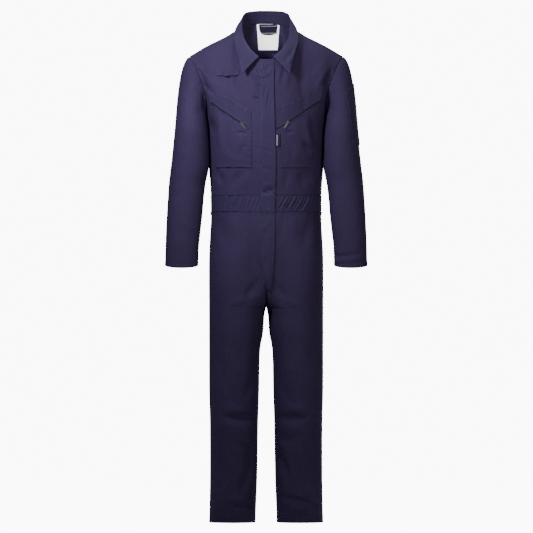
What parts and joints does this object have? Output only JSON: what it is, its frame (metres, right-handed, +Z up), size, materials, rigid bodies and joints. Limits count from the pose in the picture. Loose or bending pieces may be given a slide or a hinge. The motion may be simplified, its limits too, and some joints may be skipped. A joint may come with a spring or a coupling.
{
  "type": "boiler suit",
  "caption": "Worn navy boiler suit with a folded collar, covered front zip, slanted zipped chest pockets and gathered waistband",
  "frame": {"origin": "on the shoulders at the middle of the neck, where the wearer carries the suit", "axes": "+X the wearer's left, +Y the back, +Z up"},
  "size_m": [0.598, 0.2624, 1.517],
  "materials": {
    "navy_twill": "woven twill, matt",
    "navy_tape": "woven tape, matt",
    "zip_metal": "nickel plated",
    "white_satin": "satin label cloth"
  },
  "bodies": {
    "suit": {"front_right": "navy_twill", "front_left": "navy_twill", "back": "navy_twill", "collar": "navy_twill", "waistband_front_right": "navy_twill", "waistband_front_left": "navy_twill", "waistband_back": "navy_twill", "sleeve_front_right": "navy_twill", "sleeve_back_right": "navy_twill", "leg_front_right": "navy_twill", "leg_back_right": "navy_twill", "chest_band_right": "navy_twill", "chest_pocket_right": "navy_twill", "chest_zip_right": "navy_tape", "zip_slider_right": "zip_metal", "sleeve_front_left": "navy_twill", "sleeve_back_left": "navy_twill", "leg_front_left": "navy_twill", "leg_back_left": "navy_twill", "chest_band_left": "navy_twill", "chest_pocket_left": "navy_twill", "chest_zip_left": "navy_tape", "zip_slider_left": "zip_metal", "front_placket": "navy_twill", "radio_loop": "navy_twill", "pen_pocket": "navy_twill", "care_label": "white_satin", "neck_label": "navy_tape", "hanger_loop": "navy_tape", "side_label": "navy_tape"},
    "tab_right": {"zip_tab_right": "zip_metal"},
    "tab_left": {"zip_tab_left": "zip_metal"}
  },
  "joints": [
    {"name": "right_tab_swing", "type": "hinge", "parent": "suit", "child": "tab_right", "pos_m": [-0.072, -0.12661, -0.2636], "axis": [-0.7787, 0.2539, -0.5737], "range_deg": [0, 140]},
    {"name": "left_tab_swing", "type": "hinge", "parent": "suit", "child": "tab_left", "pos_m": [0.06356, -0.12914, -0.26138], "axis": [-0.79, -0.2135, 0.5747], "range_deg": [0, 140]}
  ]
}
